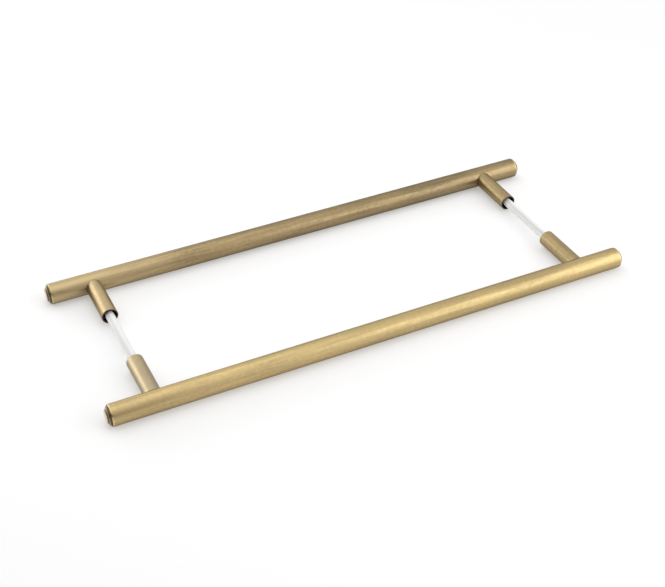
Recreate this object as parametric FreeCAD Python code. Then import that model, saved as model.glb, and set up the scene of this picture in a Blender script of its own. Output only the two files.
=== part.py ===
import FreeCAD, Part
import math
import os
from FreeCAD import Vector

# A back-to-back pair of ladder pull handles, lying flat, in millimetres.
# +X runs along the bars, +Y from the front handle through the door to the rear one, and +Z is up.
# The origin is in the middle of the door gap, midway between the two studs.

# Layout
door_gap = 68.0             # between the facing ends of the posts
standoff = 55.0             # door face to the axis of a bar
post_spacing = 406.4        # between the two post axes of a handle
bar_overhang = 39.3         # post axis to the end of the bar

# Bars
bar_diameter = 19.0
bar_wall = 1.5
bar_rim_length = 1.5        # slow roll-off at each end of the bar
bar_rim_drop = 0.3

# End caps: a spigot in the bar, then two cones with a ledge between them
cap_spigot_length = 8.0
cap_margin = 0.3            # flat of the bar's end left showing round the cap
cap_lower_rise = 1.8
cap_lower_inset = 1.7
cap_ledge = 0.6
cap_upper_rise = 1.4
cap_upper_inset = 1.4

# Studs and their sleeves
stud_diameter = 6.0
stud_end_chamfer = 0.7
stud_past_bush = 1.5
stud_to_screw = 1.5         # end of the stud to the head of the post screw
sleeve_wall = 0.9
sleeve_to_bush = 0.3

# Bushes that the studs screw into
bush_length = 12.0
bush_wall = 3.1
groove_depth = 1.5
groove_margin = 0.4         # either side of the grub screw

# Posts
post_wall = 1.3
post_floor = 7.5            # solid end of the post, at its thinnest on the saddle
post_mouth_chamfer = 0.25

# Screws that hold the posts to the bars
screw_diameter = 5.0
screw_head_overhang = 1.75  # head beyond the shank, all round
screw_head_height = 5.0
screw_engagement = 7.0      # thread inside the bar nut
screw_socket_flats = 4.0
screw_socket_depth = 2.5
bar_nut_length = 20.0

# Grub screws under the posts
grub_diameter = 4.0
grub_sink = 0.2             # below the surface of the post
grub_point_chamfer = 0.8
grub_socket_flats = 2.0
grub_socket_depth = 1.2

# Clearances, each measured on the radius or at one end
thread_clearance = 0.05
slip_clearance = 0.05
hole_clearance = 0.25
sleeve_clearance = 0.1
grub_point_clearance = 0.05

# Radii that follow from the sizes above, from the stud outwards
stud_radius = stud_diameter / 2
sleeve_bore_radius = stud_radius + sleeve_clearance
sleeve_radius = sleeve_bore_radius + sleeve_wall
bush_bore_radius = stud_radius + thread_clearance
bush_radius = bush_bore_radius + bush_wall
groove_radius = bush_radius - groove_depth
post_bore_radius = bush_radius + slip_clearance
post_radius = post_bore_radius + post_wall
bar_radius = bar_diameter / 2
bar_bore_radius = bar_radius - bar_wall
bar_plug_radius = bar_bore_radius - slip_clearance
screw_radius = screw_diameter / 2
screw_hole_radius = screw_radius + hole_clearance
screw_tap_radius = screw_radius + thread_clearance
screw_head_radius = screw_radius + screw_head_overhang
grub_radius = grub_diameter / 2
grub_tap_radius = grub_radius + thread_clearance

# Places along Y on the rear handle, from the door outwards
door_face = door_gap / 2
bar_axis = door_face + standoff
bore_floor = bar_axis - bar_radius - post_floor
screw_tip = bar_axis - bar_bore_radius + screw_engagement
stud_end = bore_floor - screw_head_height - stud_to_screw
bush_end = stud_end - stud_past_bush
bush_start = bush_end - bush_length
bush_middle = (bush_start + bush_end) / 2
sleeve_end = bush_start - sleeve_to_bush

# Places along X
post_places = {"left": -post_spacing / 2, "right": post_spacing / 2}
bar_end = post_spacing / 2 + bar_overhang

along_x = Vector(1, 0, 0)
along_y = Vector(0, 1, 0)
along_z = Vector(0, 0, 1)
origin = Vector(0, 0, 0)


def turned(outline, axis, start=origin):
    """A solid of revolution from a closed outline of (distance along the axis, radius) points."""
    across = along_z if axis != along_z else along_x
    points = [start + axis * along + across * radius for along, radius in outline]
    face = Part.Face(Part.makePolygon(points + points[:1]))
    return face.revolve(start, axis, 360)


def rod(radius, axis, start, end):
    """A plain cylinder between two points on a line parallel to the axis."""
    return Part.makeCylinder(radius, (end - start).Length, start, axis)


def hex_socket(flats, depth, axis, mouth):
    """A six-sided recess cutter that goes in from its mouth along the axis."""
    sides = 6
    corner_reach = along_x * (flats / 2 / math.cos(math.pi / sides))
    corners = []
    for side in range(sides):
        turn = FreeCAD.Rotation(axis, 360 * side / sides)
        corners.append(mouth + turn.multVec(corner_reach))
    face = Part.Face(Part.makePolygon(corners + corners[:1]))
    return face.extrude(axis * depth)


def make_bar():
    """A tube along X, tapered at its rims and drilled where the two post screws pass through its wall."""
    rim_radius = bar_radius - bar_rim_drop
    shoulder = bar_end - bar_rim_length
    outline = [
        (-bar_end, bar_bore_radius),
        (-bar_end, rim_radius),
        (-shoulder, bar_radius),
        (shoulder, bar_radius),
        (bar_end, rim_radius),
        (bar_end, bar_bore_radius),
    ]
    bar = turned(outline, along_x, Vector(0, bar_axis, 0))
    for place in post_places.values():
        hole_start = Vector(place, bar_axis - 2 * bar_radius, 0)
        hole_end = Vector(place, bar_axis, 0)
        bar = bar.cut(rod(screw_hole_radius, along_y, hole_start, hole_end))
    return bar


def make_end_cap():
    """A stepped button on the right end of the bar, with a spigot inside the tube."""
    base_radius = bar_radius - bar_rim_drop - cap_margin
    ledge_radius = base_radius - cap_lower_inset
    upper_radius = ledge_radius - cap_ledge
    face_radius = upper_radius - cap_upper_inset
    height = cap_lower_rise + cap_upper_rise
    outline = [
        (-cap_spigot_length, 0),
        (-cap_spigot_length, bar_plug_radius),
        (0, bar_plug_radius),
        (0, base_radius),
        (cap_lower_rise, ledge_radius),
        (cap_lower_rise, upper_radius),
        (height, face_radius),
        (height, 0),
    ]
    return turned(outline, along_x, Vector(bar_end, bar_axis, 0))


def make_post():
    """A turned post, bored from the door end, saddle-cut at the bar and tapped below for the grub screw."""
    mouth_radius = post_radius - post_mouth_chamfer
    outline = [
        (door_face, post_bore_radius),
        (door_face, mouth_radius),
        (door_face + post_mouth_chamfer, post_radius),
        (bar_axis, post_radius),
        (bar_axis, screw_hole_radius),
        (bore_floor, screw_hole_radius),
        (bore_floor, post_bore_radius),
    ]
    post = turned(outline, along_y)
    bar_space = rod(bar_radius, along_x, Vector(-bar_end, bar_axis, 0), Vector(bar_end, bar_axis, 0))
    hole_start = Vector(0, bush_middle, -2 * post_radius)
    grub_hole = rod(grub_tap_radius, along_z, hole_start, Vector(0, bush_middle, 0))
    return post.cut(bar_space).cut(grub_hole)


def make_bar_nut():
    """A round slug inside the bar, tapped across for the post screw."""
    half = bar_nut_length / 2
    nut = rod(bar_plug_radius, along_x, Vector(-half, bar_axis, 0), Vector(half, bar_axis, 0))
    hole_start = Vector(0, bar_axis - bar_radius, 0)
    hole_end = Vector(0, bar_axis + bar_radius, 0)
    return nut.cut(rod(screw_tap_radius, along_y, hole_start, hole_end))


def make_post_screw():
    """A socket-head screw on the floor of the post's bore."""
    head_top = bore_floor - screw_head_height
    outline = [
        (head_top, 0),
        (head_top, screw_head_radius),
        (bore_floor, screw_head_radius),
        (bore_floor, screw_radius),
        (screw_tip, screw_radius),
        (screw_tip, 0),
    ]
    socket = hex_socket(screw_socket_flats, screw_socket_depth, along_y, Vector(0, head_top, 0))
    return turned(outline, along_y).cut(socket)


def make_stud_bush():
    """A tapped bush in the bore of the post, grooved round its middle for the grub screw."""
    groove_half = grub_radius + groove_margin
    outline = [
        (bush_start, bush_bore_radius),
        (bush_start, bush_radius),
        (bush_middle - groove_half, bush_radius),
        (bush_middle - groove_half, groove_radius),
        (bush_middle + groove_half, groove_radius),
        (bush_middle + groove_half, bush_radius),
        (bush_end, bush_radius),
        (bush_end, bush_bore_radius),
    ]
    return turned(outline, along_y)


def make_grub_screw():
    """A headless screw that comes up through the underside of the post into the groove of the bush."""
    bottom = -post_radius + grub_sink
    tip = -groove_radius - grub_point_clearance
    outline = [
        (bottom, 0),
        (bottom, grub_radius),
        (tip - grub_point_chamfer, grub_radius),
        (tip, grub_radius - grub_point_chamfer),
        (tip, 0),
    ]
    place = Vector(0, bush_middle, 0)
    socket = hex_socket(grub_socket_flats, grub_socket_depth, along_z, place + along_z * bottom)
    return turned(outline, along_z, place).cut(socket)


def make_stud():
    """A rod along Y from inside one post to inside the facing one, chamfered at both ends."""
    point_radius = stud_radius - stud_end_chamfer
    shoulder = stud_end - stud_end_chamfer
    outline = [
        (-stud_end, 0),
        (-stud_end, point_radius),
        (-shoulder, stud_radius),
        (shoulder, stud_radius),
        (stud_end, point_radius),
        (stud_end, 0),
    ]
    return turned(outline, along_y)


def make_sleeve():
    """A plain tube over the stud, from bush to bush."""
    outline = [
        (-sleeve_end, sleeve_bore_radius),
        (-sleeve_end, sleeve_radius),
        (sleeve_end, sleeve_radius),
        (sleeve_end, sleeve_bore_radius),
    ]
    return turned(outline, along_y)


def on_handle(shape, handle):
    """The shape as built for the rear handle, or mirrored through the door for the front one."""
    return shape if handle == "rear" else shape.mirror(origin, along_y)


def at_end(shape, end):
    """The shape as built for the right end, or mirrored for the left one."""
    return shape if end == "right" else shape.mirror(origin, along_x)


def at_post(shape, place):
    """A copy of the shape moved along X to one of the post axes."""
    return shape.translated(along_x * place)


def save(node, shape):
    """Writes one sub-part."""
    shape.exportStep(os.path.join("parts", node + ".step"))


os.makedirs("parts", exist_ok=True)
post_screws = []
grub_screws = []
for handle in ("front", "rear"):
    save(handle + "_bar", on_handle(make_bar(), handle))
    for end, place in post_places.items():
        name = handle + "_" + end
        save(name + "_end_cap", at_end(on_handle(make_end_cap(), handle), end))
        save(name + "_post", at_post(on_handle(make_post(), handle), place))
        save(name + "_bar_nut", at_post(on_handle(make_bar_nut(), handle), place))
        save(name + "_stud_bush", at_post(on_handle(make_stud_bush(), handle), place))
        post_screws.append(at_post(on_handle(make_post_screw(), handle), place))
        grub_screws.append(at_post(on_handle(make_grub_screw(), handle), place))
for end, place in post_places.items():
    save(end + "_stud", at_post(make_stud(), place))
    save(end + "_sleeve", at_post(make_sleeve(), place))
save("post_screws", Part.makeCompound(post_screws))
save("grub_screws", Part.makeCompound(grub_screws))
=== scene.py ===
import bpy
import bmesh
from math import atan2, cos, pi, radians, sin, sqrt, tan
from mathutils import Matrix, Vector


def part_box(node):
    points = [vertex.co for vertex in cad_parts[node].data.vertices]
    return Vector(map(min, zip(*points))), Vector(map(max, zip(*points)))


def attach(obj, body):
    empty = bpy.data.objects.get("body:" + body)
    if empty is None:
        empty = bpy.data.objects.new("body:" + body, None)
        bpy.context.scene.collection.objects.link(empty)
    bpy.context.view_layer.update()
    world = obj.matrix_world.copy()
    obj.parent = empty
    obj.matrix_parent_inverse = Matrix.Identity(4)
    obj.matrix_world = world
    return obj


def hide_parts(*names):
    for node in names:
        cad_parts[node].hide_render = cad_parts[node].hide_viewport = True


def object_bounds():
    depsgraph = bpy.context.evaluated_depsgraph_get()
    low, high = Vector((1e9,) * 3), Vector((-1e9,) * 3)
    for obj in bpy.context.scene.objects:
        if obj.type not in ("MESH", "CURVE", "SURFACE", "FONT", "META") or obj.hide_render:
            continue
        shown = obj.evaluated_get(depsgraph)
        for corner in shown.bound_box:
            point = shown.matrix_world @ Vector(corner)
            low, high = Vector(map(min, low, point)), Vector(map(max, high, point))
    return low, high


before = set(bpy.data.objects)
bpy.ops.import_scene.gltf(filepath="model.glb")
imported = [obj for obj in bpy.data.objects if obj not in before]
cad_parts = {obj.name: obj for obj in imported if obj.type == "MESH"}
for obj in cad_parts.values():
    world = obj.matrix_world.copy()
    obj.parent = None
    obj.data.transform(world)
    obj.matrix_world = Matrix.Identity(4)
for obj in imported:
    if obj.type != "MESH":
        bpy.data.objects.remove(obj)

# A back-to-back pair of ladder pulls in aged brass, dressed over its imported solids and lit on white.
# Lengths in the dictionaries are in millimetres, Blender's are in metres.
mm = 0.001
cadBox = [list(corner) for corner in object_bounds()]

scene = bpy.context.scene
scene.view_settings.view_transform = "Standard"


def boxCentre(node):
    low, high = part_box(node)
    return (low + high) / 2


def boxSize(node):
    low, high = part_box(node)
    return high - low


def linearColour(hexCode):  # sRGB hex to linear RGBA
    channels = [int(hexCode[k:k + 2], 16) / 255 for k in (1, 3, 5)]
    return [c / 12.92 if c <= 0.04045 else ((c + 0.055) / 1.055) ** 2.4 for c in channels] + [1.0]


def perMm(size):  # texture scale for a pattern that repeats every so many millimetres
    return 1 / (size * mm)


def addNode(tree, kind, values=None, links=None, **settings):
    node = tree.nodes.new("ShaderNode" + kind)
    for name, value in settings.items():
        setattr(node, name, value)
    for socket, value in (values or {}).items():
        node.inputs[socket].default_value = value
    for socket, source in (links or {}).items():
        tree.links.new(source, node.inputs[socket])
    return node


def newMaterial(name):
    material = bpy.data.materials.new(name)
    material.use_nodes = True
    material.node_tree.nodes.clear()
    return material, material.node_tree


# Where most of a noise's values lie: the middle of it, and nearly all of it.
noiseMiddle = {"From Min": 0.35, "From Max": 0.65}
noiseMost = {"From Min": 0.3, "From Max": 0.7}

agedBrassLook = {
    "bright": "#CEB47C",       # where the last brushing cut through the darkening
    "dull": "#756746",         # where some of it is left
    "rosyBright": "#D1AF83",   # the same two where the bath has left a coppery blush, which lies in long patches
    "rosyDull": "#77644A",
    "blushWidth": 14.0,
    "blushLength": 250.0,
    "rubbedAndHighlight": "#E8D09C",       # handled edges, and painted highlights on the bars' rims, the rear bar's left end and the caps' ledges and faces
    "oxideAndShade": "#2B251B",        # left in the corners, and painted shade on the caps' cones and the posts' mouths
    "cloudiness": 0.17,        # how far the tone wanders with the brush marks, and below, with the slow drift
    "driftiness": 0.10,
    "roughness": (0.30, 0.42),
    "lacquer": 0.6,            # how much of a clear coat is left, and below, how rough it is
    "lacquerRoughness": 0.3,
    "paleSheen": "#BCB7A9",         # painted highlight: the grey that the colour is paled toward, where a bright lamp's reflection shows pale on the left posts
    "anisotropy": 0.5,
    "lineSpacing": 1.6,        # real brush lines are about 0.1 mm apart, too fine to show, so drawn coarser
    "lineLength": 42.0,
    "lineDepth": 0.0045,
    "lineShare": 0.6,          # how much of the tone follows the lines, the rest being mottled
    "mottle": 3.0,
    "drift": 90.0,
    "paleSpan": (0.1, 1.0),    # rubAndLight at which the pale colour, wear and painted highlight alike, starts and is full, and below, the most that it shows
    "paleMost": 0.9,
    "palePatchy": {"From Min": 0.3, "From Max": 0.6, "To Min": 0.7},  # how the mottling breaks it up
    "darkSpan": (-0.15, -0.9),  # rubAndLight at which the black, oxide and painted shade alike, starts and is full
}


# Brass, darkened in a bath, brushed back along its length and lacquered: satin gold with faint streaks, fine brown
# mottling, pale worn edges and black left in the corners, where the pale also carries painted highlights and the
# black painted shade. dullnessAndShade is how much of the darkening is left, and from piece to piece also painted
# light and shade, grazed the tint at a glancing angle, which on the bars and posts darkens the edges as painted
# shade, and paleSheen how far the colour is paled toward grey as a painted highlight. blush is how rosy the patches
# are, from the least to the most, with below 0 leaning to green, and patch is where they fall.
def agedBrass(name, axis, dullnessAndShade, grazed, paleSheen=0.0, blush=(0.0, 0.0), patch=0.0):
    look = agedBrassLook
    material, tree = newMaterial(name)
    place = addNode(tree, "TexCoord").outputs["Object"]
    lineScale = [perMm(look["lineSpacing"])] * 3
    lineScale["XYZ".index(axis)] = perMm(look["lineLength"])
    linePlace = addNode(tree, "Mapping", {"Scale": lineScale}, {"Vector": place})
    lines = addNode(tree, "TexNoise", {"Scale": 1.0, "Detail": 3.0, "Roughness": 0.65},
                    {"Vector": linePlace.outputs["Vector"]}).outputs["Fac"]
    mottle = addNode(tree, "TexNoise", {"Scale": perMm(look["mottle"]), "Detail": 4.0, "Roughness": 0.6},
                     {"Vector": place}).outputs["Fac"]
    drift = addNode(tree, "TexNoise", {"Scale": perMm(look["drift"]), "Detail": 1.0},
                    {"Vector": place}).outputs["Fac"]
    cloud = addNode(tree, "Mix", {"Factor": look["lineShare"]}, {"A": mottle, "B": lines}).outputs["Result"]
    stain = addNode(tree, "MapRange", {**noiseMiddle, "To Min": dullnessAndShade - look["cloudiness"],
                    "To Max": dullnessAndShade + look["cloudiness"]}, {"Value": cloud}).outputs["Result"]
    slow = addNode(tree, "MapRange", {**noiseMost, "To Min": -look["driftiness"], "To Max": look["driftiness"]},
                   {"Value": drift}).outputs["Result"]
    tone = addNode(tree, "Math", None, {0: stain, 1: slow}, operation="ADD", use_clamp=True).outputs["Value"]
    # The colour is paled toward grey as a painted highlight.
    sheenGrey = Vector(linearColour(look["paleSheen"]))
    bright, dull = (Vector(linearColour(look[k])).lerp(sheenGrey, paleSheen) for k in ("bright", "dull"))
    body = addNode(tree, "Mix", {"A": bright, "B": dull}, {"Factor": tone}, data_type="RGBA").outputs["Result"]
    blushScale = [perMm(look["blushWidth"])] * 3
    blushScale["XYZ".index(axis)] = perMm(look["blushLength"])
    blushPlace = addNode(tree, "Mapping", {"Scale": blushScale}, {"Vector": place})
    patches = addNode(tree, "TexNoise", {"W": patch, "Scale": 1.0, "Detail": 2.0},
                      {"Vector": blushPlace.outputs["Vector"]}, noise_dimensions="4D").outputs["Fac"]
    blushed = addNode(tree, "MapRange", {**noiseMiddle, "To Min": blush[0], "To Max": blush[1]},
                      {"Value": patches}).outputs["Result"]
    rosy = addNode(tree, "Mix", {"A": linearColour(look["rosyBright"]), "B": linearColour(look["rosyDull"])},
                   {"Factor": tone}, data_type="RGBA").outputs["Result"]
    body = addNode(tree, "Mix", None, {"Factor": blushed, "A": body, "B": rosy}, data_type="RGBA",
                   clamp_factor=False).outputs["Result"]
    rubAndLight = addNode(tree, "Attribute", attribute_name="rubAndLight").outputs["Fac"]  # 1 where handled and where a highlight is painted, -1 deep in a corner and where shade is painted
    # The pale colour: real wear on handled edges, and painted highlight on the bars' rims and ends and the caps'
    # ledges and faces.
    start, full = look["paleSpan"]
    worn = addNode(tree, "MapRange", {"From Min": start, "From Max": full, "To Max": look["paleMost"]},
                   {"Value": rubAndLight}).outputs["Result"]
    patchy = addNode(tree, "MapRange", look["palePatchy"], {"Value": mottle}).outputs["Result"]
    wearAndHighlight = addNode(tree, "Math", None, {0: worn, 1: patchy}, operation="MULTIPLY").outputs["Value"]
    wornAndHighlighted = addNode(tree, "Mix", {"B": linearColour(look["rubbedAndHighlight"])}, {"Factor": wearAndHighlight, "A": body},
                    data_type="RGBA").outputs["Result"]
    # The black: oxide left in real corners, and painted shade on the caps' cones and the posts' mouths.
    start, full = look["darkSpan"]
    left = addNode(tree, "MapRange", {"From Min": start, "From Max": full}, {"Value": rubAndLight}).outputs["Result"]
    colour = addNode(tree, "Mix", {"B": linearColour(look["oxideAndShade"])}, {"Factor": left, "A": wornAndHighlighted},
                     data_type="RGBA").outputs["Result"]
    low, high = look["roughness"]
    rough = addNode(tree, "MapRange", {**noiseMiddle, "To Min": low, "To Max": high},
                    {"Value": cloud}).outputs["Result"]
    relief = addNode(tree, "Bump", {"Strength": 1.0, "Distance": look["lineDepth"] * mm},
                     {"Height": lines}).outputs["Normal"]
    around = addNode(tree, "Tangent", direction_type="RADIAL", axis=axis).outputs["Tangent"]
    surface = addNode(tree, "BsdfPrincipled",
                      {"Metallic": 1.0, "Specular Tint": linearColour(grazed), "Coat Weight": look["lacquer"],
                       "Coat Roughness": look["lacquerRoughness"], "Anisotropic": look["anisotropy"]},
                      {"Base Color": colour, "Roughness": rough, "Normal": relief, "Tangent": around})
    addNode(tree, "OutputMaterial", None, {"Surface": surface.outputs["BSDF"]})
    return material


boreLook = {
    "colour": "#1B1710",
    "scuffed": "#3A3020",
    "metallic": 0.6,
    "roughness": 0.6,
    "toolMark": 0.8,
    "markLength": 30.0,
    "depth": 0.01,
}


# Brass as bored and darkened, never brushed back: a black-brown wall with tool rings.
def darkBore(name):
    look = boreLook
    material, tree = newMaterial(name)
    place = addNode(tree, "TexCoord").outputs["Object"]
    stretch = [perMm(look["markLength"]), perMm(look["toolMark"]), perMm(look["markLength"])]
    ringPlace = addNode(tree, "Mapping", {"Scale": stretch}, {"Vector": place})
    rings = addNode(tree, "TexNoise", {"Scale": 1.0, "Detail": 2.0},
                    {"Vector": ringPlace.outputs["Vector"]}).outputs["Fac"]
    colour = addNode(tree, "Mix", {"A": linearColour(look["colour"]), "B": linearColour(look["scuffed"])},
                     {"Factor": rings}, data_type="RGBA").outputs["Result"]
    relief = addNode(tree, "Bump", {"Distance": look["depth"] * mm}, {"Height": rings}).outputs["Normal"]
    surface = addNode(tree, "BsdfPrincipled", {"Metallic": look["metallic"], "Roughness": look["roughness"]},
                      {"Base Color": colour, "Normal": relief})
    addNode(tree, "OutputMaterial", None, {"Surface": surface.outputs["BSDF"]})
    return material


sleeveLook = {
    "colour": "#F8F8F7",
    "cloudy": "#DEDEDD",
    "roughness": (0.28, 0.4),
    "ior": 1.53,
    "throughLight": 0.12,
    "glowThrough": 0.2,        # share of its light that spreads inside the wall, and how far
    "glowReach": 1.0,
    "drawLine": 2.4,           # spacing of the faint lines that the die leaves along the tube, and their length
    "drawLength": 300.0,
    "streaked": {"From Min": 0.4, "From Max": 0.6},
    "depth": 0.01,
}


# Natural nylon, extruded: a milky tube with a soft gloss, lengthwise die lines and the stud showing through.
def milkyNylon(name):
    look = sleeveLook
    material, tree = newMaterial(name)
    place = addNode(tree, "TexCoord").outputs["Object"]
    stretch = [perMm(look["drawLine"]), perMm(look["drawLength"]), perMm(look["drawLine"])]
    linePlace = addNode(tree, "Mapping", {"Scale": stretch}, {"Vector": place})
    lines = addNode(tree, "TexNoise", {"Scale": 1.0, "Detail": 2.0},
                    {"Vector": linePlace.outputs["Vector"]}).outputs["Fac"]
    streaks = addNode(tree, "MapRange", look["streaked"], {"Value": lines}).outputs["Result"]
    colour = addNode(tree, "Mix", {"A": linearColour(look["colour"]), "B": linearColour(look["cloudy"])},
                     {"Factor": streaks}, data_type="RGBA").outputs["Result"]
    low, high = look["roughness"]
    rough = addNode(tree, "MapRange", {**noiseMost, "To Min": low, "To Max": high},
                    {"Value": lines}).outputs["Result"]
    relief = addNode(tree, "Bump", {"Distance": look["depth"] * mm}, {"Height": lines}).outputs["Normal"]
    surface = addNode(tree, "BsdfPrincipled",
                      {"IOR": look["ior"], "Transmission Weight": look["throughLight"],
                       "Subsurface Weight": look["glowThrough"], "Subsurface Radius": (1, 1, 1),
                       "Subsurface Scale": look["glowReach"] * mm},
                      {"Base Color": colour, "Roughness": rough, "Normal": relief})
    addNode(tree, "OutputMaterial", None, {"Surface": surface.outputs["BSDF"]})
    return material


zincLook = {"colour": "#C9CBCD", "dull": "#AEB1B3", "roughness": (0.24, 0.4), "spangle": 1.5, "depth": 0.004}


# Steel, zinc plated: a cool bright grey with a fine uneven bloom.
def zincPlate(name):
    look = zincLook
    material, tree = newMaterial(name)
    place = addNode(tree, "TexCoord").outputs["Object"]
    bloom = addNode(tree, "TexNoise", {"Scale": perMm(look["spangle"]), "Detail": 4.0},
                    {"Vector": place}).outputs["Fac"]
    colour = addNode(tree, "Mix", {"A": linearColour(look["colour"]), "B": linearColour(look["dull"])},
                     {"Factor": bloom}, data_type="RGBA").outputs["Result"]
    low, high = look["roughness"]
    rough = addNode(tree, "MapRange", {**noiseMost, "To Min": low, "To Max": high},
                    {"Value": bloom}).outputs["Result"]
    relief = addNode(tree, "Bump", {"Distance": look["depth"] * mm}, {"Height": bloom}).outputs["Normal"]
    surface = addNode(tree, "BsdfPrincipled", {"Metallic": 1.0},
                      {"Base Color": colour, "Roughness": rough, "Normal": relief})
    addNode(tree, "OutputMaterial", None, {"Surface": surface.outputs["BSDF"]})
    return material


bushLook = {
    "colour": "#C9AC6A",
    "dull": "#B4965A",
    "roughness": (0.22, 0.36),
    "feed": 0.5,
    "markLength": 20.0,
    "depth": 0.005,
}


# Brass, as turned and left bare: yellow and shiny with close tool rings.
def turnedBrass(name):
    look = bushLook
    material, tree = newMaterial(name)
    place = addNode(tree, "TexCoord").outputs["Object"]
    stretch = [perMm(look["markLength"]), perMm(look["feed"]), perMm(look["markLength"])]
    ringPlace = addNode(tree, "Mapping", {"Scale": stretch}, {"Vector": place})
    rings = addNode(tree, "TexNoise", {"Scale": 1.0, "Detail": 2.0},
                    {"Vector": ringPlace.outputs["Vector"]}).outputs["Fac"]
    colour = addNode(tree, "Mix", {"A": linearColour(look["colour"]), "B": linearColour(look["dull"])},
                     {"Factor": rings}, data_type="RGBA").outputs["Result"]
    low, high = look["roughness"]
    rough = addNode(tree, "MapRange", {**noiseMost, "To Min": low, "To Max": high},
                    {"Value": rings}).outputs["Result"]
    relief = addNode(tree, "Bump", {"Distance": look["depth"] * mm}, {"Height": rings}).outputs["Normal"]
    surface = addNode(tree, "BsdfPrincipled", {"Metallic": 1.0},
                      {"Base Color": colour, "Roughness": rough, "Normal": relief})
    addNode(tree, "OutputMaterial", None, {"Surface": surface.outputs["BSDF"]})
    return material


screwLook = {
    "colour": "#232325",
    "worn": "#3B3B3E",
    "metallic": 0.9,
    "roughness": (0.38, 0.55),
    "grain": 0.7,
    "specked": {"From Min": 0.5, "From Max": 0.75},
    "depth": 0.005,
}


# Steel, black oxide over a tumbled blank: near black with a slight oily sheen and greyer specks.
def blackOxide(name):
    look = screwLook
    material, tree = newMaterial(name)
    place = addNode(tree, "TexCoord").outputs["Object"]
    grain = addNode(tree, "TexNoise", {"Scale": perMm(look["grain"]), "Detail": 4.0},
                    {"Vector": place}).outputs["Fac"]
    specks = addNode(tree, "MapRange", look["specked"], {"Value": grain}).outputs["Result"]
    colour = addNode(tree, "Mix", {"A": linearColour(look["colour"]), "B": linearColour(look["worn"])},
                     {"Factor": specks}, data_type="RGBA").outputs["Result"]
    low, high = look["roughness"]
    rough = addNode(tree, "MapRange", {**noiseMost, "To Min": low, "To Max": high},
                    {"Value": grain}).outputs["Result"]
    relief = addNode(tree, "Bump", {"Distance": look["depth"] * mm}, {"Height": grain}).outputs["Normal"]
    surface = addNode(tree, "BsdfPrincipled", {"Metallic": look["metallic"]},
                      {"Base Color": colour, "Roughness": rough, "Normal": relief})
    addNode(tree, "OutputMaterial", None, {"Surface": surface.outputs["BSDF"]})
    return material


finishes = {  # each brass piece was brushed back by hand, so each has its own tone, which is also painted light and shade: the left posts lighter and the right posts darker as the light falls from the back left, and the rear bar darker overall
    # The second colour, grazed, is near black on the bars and grey on the posts: painted shade along their edges at a
    # glancing angle.
    "frontBar": agedBrass("agedBrassFrontBar", "X", 0.3, "#2E2A26", blush=(-0.16, 0.16), patch=27.0),
    "rearBar": agedBrass("agedBrassRearBar", "X", 0.75, "#16120E", blush=(0.0, 0.64), patch=43.0),
    # The left posts are lighter and the right posts darker as painted light and shade, and the left posts are also
    # paled toward grey as a painted highlight.
    "frontLeftPost": agedBrass("agedBrassFrontLeftPost", "Y", 0.48, "#A09C98",
                               paleSheen=0.3, blush=(0.0, 0.6), patch=1.0),
    "frontRightPost": agedBrass("agedBrassFrontRightPost", "Y", 0.56, "#A09C98", blush=(0.0, 0.3), patch=2.0),
    "rearLeftPost": agedBrass("agedBrassRearLeftPost", "Y", 0.45, "#7A7672",
                              paleSheen=0.15, blush=(0.0, 0.24), patch=3.0),
    "rearRightPost": agedBrass("agedBrassRearRightPost", "Y", 0.65, "#7A7672", blush=(0.0, 0.2), patch=4.0),
    "frontCap": agedBrass("agedBrassFrontCap", "X", 0.3, "#FFFFFF"),
    "rearCap": agedBrass("agedBrassRearCap", "X", 0.5, "#FFFFFF"),
    "bore": darkBore("darkenedBore"),
    "sleeve": milkyNylon("milkyNylon"),
    "zinc": zincPlate("zincPlatedSteel"),
    "bush": turnedBrass("turnedBrass"),
    "screw": blackOxide("blackOxideSteel"),
}
print("finishes ready:", ", ".join(finishes))

turning = {
    "steps": 96,               # facets round a piece, and below, along each rounded corner
    "cornerSteps": 4,
    "cornerShare": 0.22,       # the most of a side that its rounded corner takes
    "sharp": 35.0,             # degrees from which a drilled edge is shaded as one
    "weld": 0.002,             # how near two points are made one after drilling
}


# Rounds the corners of an outline whose rows are (along, out, rubAndLight, rounding, rubAndLight of the face that
# follows), where rubAndLight is wear and oxide, and in places painted highlight and painted shade.
# Gives (along, out, rubAndLight) points, with one each side of a corner to keep its shading to itself.
def softened(outline, closed):
    points = []
    for k, (along, out, rubAndLight, rounding, faceRubAndLight) in enumerate(outline):
        here = Vector((along, out))
        if rounding == 0 or (not closed and k in (0, len(outline) - 1)):
            points.append((along, out, rubAndLight))
            continue
        before = Vector(outline[k - 1][:2]) - here
        after = Vector(outline[(k + 1) % len(outline)][:2]) - here
        half = before.angle(after) / 2
        reach = min(rounding / tan(half), min(before.length, after.length) * turning["cornerShare"])
        before.normalize()
        after.normalize()
        centre = here + (before + after).normalized() * reach / cos(half)
        first = here + before * reach - centre
        last = here + after * reach - centre
        points.append((*(here + before * reach * 2), outline[k - 1][4]))
        for step in range(turning["cornerSteps"] + 1):
            spoke = first.slerp(last, step / turning["cornerSteps"]).normalized()
            points.append((*(centre + spoke * first.length), rubAndLight))
        points.append((*(here + after * reach * 2), faceRubAndLight))
    return points


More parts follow.
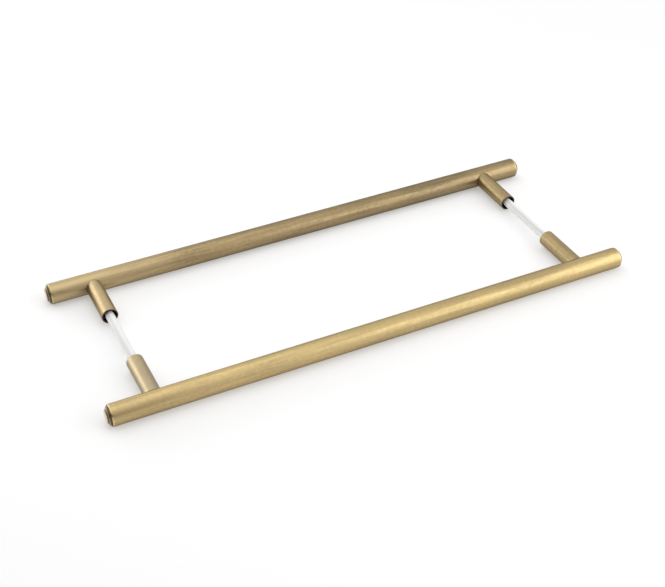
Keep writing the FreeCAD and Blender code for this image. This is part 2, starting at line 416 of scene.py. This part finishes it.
# Spins an outline round an axis. bend, if given, moves a point along the axis by where it is across it.
def turnedPiece(name, points, axis, place, closed, bend=None):
    shape = bmesh.new()
    rubAndLightLayer = shape.verts.layers.float.new("rubAndLight")
    axis = Vector(axis)
    up = Vector((0, 0, 1))
    across = axis.cross(up)
    rings = []
    for along, out, rubAndLight in points:
        count = turning["steps"] if out > 0 else 1
        ring = []
        for k in range(count):
            angle = 2 * pi * k / count
            side = (across * sin(angle) + up * cos(angle)) * out
            shift = bend(along, side) if bend else along
            vertex = shape.verts.new((axis * shift + side) * mm)
            vertex[rubAndLightLayer] = rubAndLight
            ring.append(vertex)
        rings.append(ring)
    pairs = list(zip(rings, rings[1:] + rings[:1])) if closed else list(zip(rings, rings[1:]))
    for ring, following in pairs:
        count = max(len(ring), len(following))
        for k in range(count):
            corners = [ring[k % len(ring)], ring[(k + 1) % len(ring)],
                       following[(k + 1) % len(following)], following[k % len(following)]]
            shape.faces.new(list(dict.fromkeys(corners)))
    bmesh.ops.recalc_face_normals(shape, faces=shape.faces)
    mesh = bpy.data.meshes.new(name)
    shape.to_mesh(mesh)
    shape.free()
    mesh.shade_smooth()
    piece = bpy.data.objects.new(name, mesh)
    piece.location = place
    scene.collection.objects.link(piece)
    return piece


# Drills a round hole through a piece, from start to end in its own millimetres.
def drilled(piece, diameter, start, end):
    start, end = Vector(start), Vector(end)
    depth = (end - start).length
    outline = [(0, 0, 0), (0, diameter / 2, 0), (depth, diameter / 2, 0), (depth, 0, 0)]
    bit = turnedPiece("bit", outline, (0, 1, 0), piece.location + start * mm, False)
    bit.rotation_euler = Vector((0, 1, 0)).rotation_difference(end - start).to_euler()
    cut = piece.modifiers.new("hole", "BOOLEAN")
    cut.object = bit
    cut.solver = "EXACT"
    bpy.context.view_layer.update()
    drilledMesh = bpy.data.meshes.new_from_object(piece.evaluated_get(bpy.context.evaluated_depsgraph_get()))
    piece.modifiers.clear()
    piece.data = drilledMesh
    bpy.data.objects.remove(bit)
    shape = bmesh.new()
    shape.from_mesh(drilledMesh)
    bmesh.ops.remove_doubles(shape, verts=shape.verts, dist=turning["weld"] * mm)
    bmesh.ops.dissolve_degenerate(shape, edges=shape.edges, dist=turning["weld"] * mm)
    shape.to_mesh(drilledMesh)
    shape.free()
    drilledMesh.set_sharp_from_angle(angle=radians(turning["sharp"]))


# Hands a finished piece to the frame in place of its solid.
def installed(piece, node, slot, *materials):
    for material in materials:
        piece.data.materials.append(material)
    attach(piece, "root")
    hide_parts(node)


barShape = {
    "wall": 1.5,
    "rimLength": 1.5,          # slow roll-off at each end
    "rimDrop": 0.3,
    "rimSteps": 6,
    # the rim at each end is paled: partly a handled edge, partly a painted highlight
    "rimRubAndHighlight": 0.65,
    "endRubAndLight": {"front": (0.0, 0.0), "rear": (0.45, 0.12)},  # left and right ends, paler: partly brushed back further, partly painted light, brightest at the rear bar's left end
    "endPaleFade": 130.0,          # how far in from the post that fades
    "ringEvery": 20.0,
    "screwHole": 5.5,
}

for handle in ("front", "rear"):
    node = handle + "_bar"
    half = boxSize(node).x / 2 / mm
    radius = boxSize(node).z / 2 / mm
    bore = radius - barShape["wall"]
    runs = int(2 * half / barShape["ringEvery"])
    shoulder = half - barShape["rimLength"]
    rim = []
    for k in range(barShape["rimSteps"]):  # from the end in to the shoulder
        part = 1 - k / barShape["rimSteps"]
        rim.append((part * barShape["rimLength"], radius - barShape["rimDrop"] * part ** 2, barShape["rimRubAndHighlight"]))
    outline = [(-half, bore, -1)] + [(-shoulder - along, out, rubAndLight) for along, out, rubAndLight in rim]
    pastPost = boxCentre(handle + "_right_post").x / mm + barShape["ringEvery"] / 2
    for k in range(runs + 1):
        along = -shoulder + 2 * shoulder * k / runs
        # The ends are paler: partly wear, partly painted light on the rear bar's left end.
        endRubAndLight = barShape["endRubAndLight"][handle][0 if along < 0 else 1]
        fade = 1 - (pastPost - abs(along)) / barShape["endPaleFade"]
        outline.append((along, radius, endRubAndLight * min(1.0, max(0.0, fade))))
    outline += [(shoulder + along, out, rubAndLight) for along, out, rubAndLight in reversed(rim)] + [(half, bore, -1)]
    bar = turnedPiece(handle + "Bar", outline, (1, 0, 0), boxCentre(node), True)
    toDoor = 1 if handle == "front" else -1
    for end in ("left", "right"):
        postAxis = boxCentre(handle + "_" + end + "_post").x / mm
        drilled(bar, barShape["screwHole"], (postAxis, 0, 0), (postAxis, toDoor * 2 * radius, 0))
    installed(bar, node, "antique_brass", finishes[handle + "Bar"])
print("bars turned")

# The cap's steps, out from the end of the bar.
capShape = {
    "spigot": 8.0,
    "spigotGap": 0.05,
    "margin": 0.6,             # bar's full radius to the foot of the lower cone
    "lowerRise": 1.8,
    "lowerInset": 1.7,
    "ledge": 0.6,
    "upperRise": 1.4,
    "upperInset": 1.4,
    "rounding": 0.15,
    "footRub": -0.8,
    "coneDarkAndShade": -0.72,          # some of the darkening is left on the cones, and they are darkened further as painted shade
    # the ledge is paled: partly handled, partly a painted highlight along the step
    "ledgeRubAndHighlight": 0.5,
}

for handle in ("front", "rear"):
    barHalf = boxSize(handle + "_bar").x / 2
    barRadius = boxSize(handle + "_bar").z / 2 / mm
    for end, way in (("left", -1), ("right", 1)):
        spigotRadius = barRadius - barShape["wall"] - capShape["spigotGap"]
        base = barRadius - capShape["margin"]
        ledge = base - capShape["lowerInset"]
        upper = ledge - capShape["ledge"]
        face = upper - capShape["upperInset"]
        top = capShape["lowerRise"] + capShape["upperRise"]
        rounding = capShape["rounding"]
        # The cones take the black: partly darkening left on them, partly painted shade.
        foot, cone = capShape["footRub"], capShape["coneDarkAndShade"]
        # The ledge's outer edge and the end face take the pale colour: partly polish, partly a painted highlight and
        # reflection.
        outline = [
            (-capShape["spigot"], 0, 0, 0, 0),
            (-capShape["spigot"], spigotRadius, 0, rounding, 0),
            (0, spigotRadius, foot, 0, foot),
            (0, base, foot, 0, cone),
            (capShape["lowerRise"], ledge, 1, rounding, capShape["ledgeRubAndHighlight"]),
            (capShape["lowerRise"], upper, -1, rounding, cone),
            (top, face, 1, rounding, 1),
            (top, 0, 1, 0, 0),
        ]
        place = boxCentre(handle + "_bar") + Vector((way * barHalf, 0, 0))
        cap = turnedPiece(handle + end.title() + "EndCap", softened(outline, False), (way, 0, 0), place, False)
        installed(cap, handle + "_" + end + "_end_cap", "antique_brass", finishes[handle + "Cap"])
print("end caps turned")

postShape = {
    "wall": 1.3,
    "floor": 7.5,              # solid end, at its thinnest on the saddle
    "mouthRounding": 0.25,
    # the mouth's outer edge is darkened: partly darkening, partly painted shade
    "mouthDarkAndShade": -0.4,
    "saddleRounding": 0.15,
    "screwHole": 5.5,
    "grubHole": 4.1,
    "boreSkin": 1.002,         # faces within this many bore radii take the bore's finish
}

for handle in ("front", "rear"):
    barAxis = boxCentre(handle + "_bar")
    barRadius = boxSize(handle + "_bar").z / 2 / mm
    outward = -1 if handle == "front" else 1
    for end in ("left", "right"):
        node = handle + "_" + end + "_post"
        low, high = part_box(node)
        doorFace = high.y if handle == "front" else low.y
        radius = boxSize(node).z / 2 / mm
        bore = radius - postShape["wall"]
        reach = abs(barAxis.y - doorFace) / mm              # door face to the axis of the bar
        boreFloor = reach - barRadius - postShape["floor"]
        saddle = reach - barRadius

        def ontoBar(along, side):  # carries the flat end of the outline onto the round of the bar
            share = max(0.0, (along - boreFloor) / (saddle - boreFloor))
            return along + share * (barRadius - sqrt(barRadius ** 2 - side.z ** 2))

        # The mouth's end face and edges take the black: partly darkening never brushed back, partly painted shade.
        outline = [
            (0, bore, -1, postShape["mouthRounding"], -1),
            (0, radius, postShape["mouthDarkAndShade"], postShape["mouthRounding"], 0),
            (saddle, radius, -1, postShape["saddleRounding"], 0),
            (saddle, postShape["screwHole"] / 2, 0, 0, 0),
            (boreFloor, postShape["screwHole"] / 2, 0, 0, 0),
            (boreFloor, bore, 0, 0, -1),
        ]
        place = Vector((boxCentre(node).x, doorFace, barAxis.z))
        points = softened(outline, True)
        post = turnedPiece(handle + end.title() + "Post", points, (0, outward, 0), place, True, ontoBar)
        grubPlace = boxCentre(handle + "_" + end + "_stud_bush")
        along = (grubPlace.y - doorFace) / mm
        drilled(post, postShape["grubHole"], (0, along, 0), (0, along, -2 * radius))
        installed(post, node, "antique_brass", finishes[handle + end.title() + "Post"], finishes["bore"])
        for polygon in post.data.polygons:
            off = Vector((polygon.center.x, 0, polygon.center.z)).length / mm
            polygon.material_index = 1 if off < bore * postShape["boreSkin"] else 0
print("posts turned, saddled and drilled")

studShape = {
    "pitch": 1.0,
    "threadDepth": 0.55,
    "steepness": 1.3,          # over 1 flattens the crests and roots, and below, how wide the crests are
    "crest": 0.15,
    "chamfer": 0.7,
    "ringsPerPitch": 6,
    "steps": 24,
    "sharp": 60.0,             # degrees from which an edge is shaded as one
}

for end in ("left", "right"):
    node = end + "_stud"
    half = boxSize(node).y / 2 / mm
    radius = boxSize(node).z / 2 / mm
    rings = int(2 * half / studShape["pitch"] * studShape["ringsPerPitch"])
    shape = bmesh.new()
    rows = []
    for k in range(rings + 1):
        along = -half + 2 * half * k / rings
        point = radius - studShape["chamfer"] + min(half - abs(along), studShape["chamfer"])  # limit of the chamfer
        row = []
        for step in range(studShape["steps"]):
            turn = step / studShape["steps"]
            wave = 0.5 + 0.5 * cos(2 * pi * (along / studShape["pitch"] - turn))
            cut = min(1.0, max(0.0, studShape["steepness"] * wave - studShape["crest"]))
            out = min(radius - studShape["threadDepth"] * cut, point)
            row.append(shape.verts.new((sin(2 * pi * turn) * out * mm, along * mm, cos(2 * pi * turn) * out * mm)))
        rows.append(row)
    for row, following in zip(rows, rows[1:]):
        for step in range(studShape["steps"]):
            ahead = (step + 1) % studShape["steps"]
            shape.faces.new((row[step], row[ahead], following[ahead], following[step]))
    shape.faces.new(rows[0])
    shape.faces.new(rows[-1])
    bmesh.ops.recalc_face_normals(shape, faces=shape.faces)
    mesh = bpy.data.meshes.new(end + "Stud")
    shape.to_mesh(mesh)
    shape.free()
    mesh.shade_smooth()
    mesh.set_sharp_from_angle(angle=radians(studShape["sharp"]))
    stud = bpy.data.objects.new(end + "Stud", mesh)
    stud.location = boxCentre(node)
    scene.collection.objects.link(stud)
    installed(stud, node, "zinc_steel", finishes["zinc"])
print("studs threaded")

sleeveShape = {"wall": 0.9, "rounding": 0.12}

for end in ("left", "right"):
    node = end + "_sleeve"
    half = boxSize(node).y / 2 / mm
    radius = boxSize(node).z / 2 / mm
    bore = radius - sleeveShape["wall"]
    outline = [
        (-half, bore, 0, sleeveShape["rounding"], 0),
        (-half, radius, 0, sleeveShape["rounding"], 0),
        (half, radius, 0, sleeveShape["rounding"], 0),
        (half, bore, 0, sleeveShape["rounding"], 0),
    ]
    sleeve = turnedPiece(end + "Sleeve", softened(outline, True), (0, 1, 0), boxCentre(node), True)
    installed(sleeve, node, "milky_plastic", finishes["sleeve"])
print("sleeves drawn")

hardware = {"_stud_bush": "bush", "_bar_nut": "zinc", "post_screws": "screw", "grub_screws": "screw"}

for node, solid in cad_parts.items():
    for ending, finish in hardware.items():
        if node.endswith(ending):
            solid.material_slots[0].material = finishes[finish]
print("inner hardware finished")


# Gives 1 for what the camera sees, be it straight, mirrored in metal or through plastic, and 0 for the light that
# falls on things.
def seenShare(tree):
    ray = addNode(tree, "LightPath").outputs
    seen = ray["Is Camera Ray"]
    for kind in ("Is Glossy Ray", "Is Transmission Ray"):
        seen = addNode(tree, "Math", None, {0: seen, 1: ray[kind]}, operation="MAXIMUM").outputs["Value"]
    return seen


floorLook = {
    "colour": "#FCFCFC",
    "size": 8000.0,
    "fibre": 1.5,
    "depth": 0.02,
    "fibreStrength": 0.2,
    "ownWhite": (0.35, 1.0),   # near the handles and far off, and below, how far out it starts and ends to grow
    "ownReach": (360.0, 900.0),
}


# Paper, calendered and left matt: flat white with a trace of fibre. Part of its white is its own, so that the shadow
# stays faint and the far end runs into the white room.
def whitePaper(name):
    look = floorLook
    material, tree = newMaterial(name)
    place = addNode(tree, "TexCoord").outputs["Object"]
    fibre = addNode(tree, "TexNoise", {"Scale": perMm(look["fibre"]), "Detail": 3.0},
                    {"Vector": place}).outputs["Fac"]
    relief = addNode(tree, "Bump", {"Distance": look["depth"] * mm, "Strength": look["fibreStrength"]},
                     {"Height": fibre}).outputs["Normal"]
    paper = addNode(tree, "BsdfDiffuse", {"Color": linearColour(look["colour"])}, {"Normal": relief}).outputs["BSDF"]
    white = addNode(tree, "Emission", {"Strength": 1.0}).outputs["Emission"]
    away = addNode(tree, "VectorMath", None, {0: place}, operation="LENGTH").outputs["Value"]
    near, far = (reach * mm for reach in look["ownReach"])
    low, high = look["ownWhite"]
    own = addNode(tree, "MapRange", {"From Min": near, "From Max": far, "To Min": low, "To Max": high},
                  {"Value": away}, interpolation_type="SMOOTHSTEP").outputs["Result"]
    share = addNode(tree, "Math", None, {0: seenShare(tree), 1: own}, operation="MULTIPLY")
    both = addNode(tree, "MixShader", None, {0: share.outputs["Value"], 1: paper, 2: white})
    addNode(tree, "OutputMaterial", None, {"Surface": both.outputs["Shader"]})
    return material


floorMesh = bpy.data.meshes.new("floor")
side = floorLook["size"] / 2 * mm
floorLevel = cadBox[0][2]
floorMesh.from_pydata([(-side, -side, 0), (side, -side, 0), (side, side, 0), (-side, side, 0)], [], [(0, 1, 2, 3)])
floorMesh.materials.append(whitePaper("mattWhitePaper"))
floor = bpy.data.objects.new("floor", floorMesh)
floor.location = (0, 0, floorLevel)
scene.collection.objects.link(floor)

# A white room. level is its light on things, and it is plain white to the camera and where metal mirrors it.
roomLook = {"level": 0.9, "white": "#FFFFFF"}

room = bpy.data.worlds.new("whiteRoom")
room.use_nodes = True
tree = room.node_tree
tree.nodes.clear()
strength = addNode(tree, "Math", {1: roomLook["level"]}, {0: seenShare(tree)}, operation="MAXIMUM").outputs["Value"]
glow = addNode(tree, "Background", {"Color": linearColour(roomLook["white"])}, {"Strength": strength})
addNode(tree, "OutputWorld", None, {"Surface": glow.outputs["Background"]})
scene.world = room

# A black cloth behind the camera on the left, which keeps the brass from going flat.
clothLook = {
    "at": (-1230, -1580),
    "width": 3600.0,
    "foot": 400.0,
    "top": 2400.0,
    "colour": "#141414",
    "nap": 6.0,                # coarser than a real pile, which is too fine to show
    "napStrength": 0.3,
}


# Cotton velvet, woven with a pile: dull black with a little unevenness in the nap.
def blackVelvet(name):
    look = clothLook
    material, tree = newMaterial(name)
    place = addNode(tree, "TexCoord").outputs["Object"]
    nap = addNode(tree, "TexNoise", {"Scale": perMm(look["nap"]), "Detail": 3.0}, {"Vector": place}).outputs["Fac"]
    relief = addNode(tree, "Bump", {"Strength": look["napStrength"]}, {"Height": nap}).outputs["Normal"]
    pile = addNode(tree, "BsdfDiffuse", {"Color": linearColour(look["colour"]), "Roughness": 1.0},
                   {"Normal": relief})
    addNode(tree, "OutputMaterial", None, {"Surface": pile.outputs["BSDF"]})
    return material


clothMesh = bpy.data.meshes.new("cloth")
side, foot, top = clothLook["width"] / 2 * mm, clothLook["foot"] * mm, clothLook["top"] * mm
clothMesh.from_pydata([(-side, 0, foot), (side, 0, foot), (side, 0, top), (-side, 0, top)], [], [(0, 1, 2, 3)])
clothMesh.materials.append(blackVelvet("blackVelvet"))
cloth = bpy.data.objects.new("cloth", clothMesh)
cloth.location = (clothLook["at"][0] * mm, clothLook["at"][1] * mm, floorLevel)
cloth.rotation_euler.z = atan2(clothLook["at"][1], clothLook["at"][0]) + pi / 2  # its flat side to the handles
cloth.visible_camera = False
scene.collection.objects.link(cloth)

# Each softbox: where it hangs, what it points at, its width and height, the fan in degrees that its grid allows, and
# its power.
softboxes = {
    "overhead": {"at": (-50, 200, 800), "aim": (-50, 150, 0), "size": (600, 1000), "spread": 130, "watts": 0.72},
    "frontRight": {"at": (730, -655, 500), "aim": (0, 0, 0), "size": (1000, 1000), "spread": 130, "watts": 2.3},
    "backLeft": {"at": (-450, 640, 190), "aim": (-200, 0, 0), "size": (1250, 400), "spread": 90, "watts": 0.82},
}

for name, box in softboxes.items():
    lamp = bpy.data.lights.new(name, "AREA")
    lamp.shape = "RECTANGLE"
    lamp.size = box["size"][0] * mm
    lamp.size_y = box["size"][1] * mm
    lamp.energy = box["watts"]
    lamp.spread = radians(box["spread"])
    hung = bpy.data.objects.new(name, lamp)
    hung.location = Vector(box["at"]) * mm
    hung.rotation_euler = (Vector(box["aim"]) - Vector(box["at"])).to_track_quat("-Z", "Y").to_euler()
    hung.visible_camera = False
    scene.collection.objects.link(hung)
print("floor, room and softboxes set")

# Where the camera stands: angles in degrees round the middle of the part, then slid sideways and up in its own frame.
cameraSet = {"azimuth": -25.07, "elevation": 37.017, "roll": -0.834, "distance": 1133.5, "right": -3.86, "up": -16.3,
             "lens": 67.55, "nearest": 10.0}

azimuth, elevation, roll = (radians(cameraSet[k]) for k in ("azimuth", "elevation", "roll"))
back = Vector((sin(azimuth) * cos(elevation), -cos(azimuth) * cos(elevation), sin(elevation)))
level = Vector((0, 0, 1)).cross(back).normalized()
right = level * cos(roll) + back.cross(level) * sin(roll)
up = back.cross(right)
eye = bpy.data.cameras.new("camera")
eye.lens = cameraSet["lens"]
eye.clip_start = cameraSet["nearest"] * mm
stand = bpy.data.objects.new("camera", eye)
turn = Matrix((right, up, back)).transposed().to_4x4()
spot = (back * cameraSet["distance"] + right * cameraSet["right"] + up * cameraSet["up"]) * mm
stand.matrix_world = Matrix.Translation(spot) @ turn
scene.collection.objects.link(stand)
scene.camera = stand
print("camera at", [round(c, 4) for c in spot])
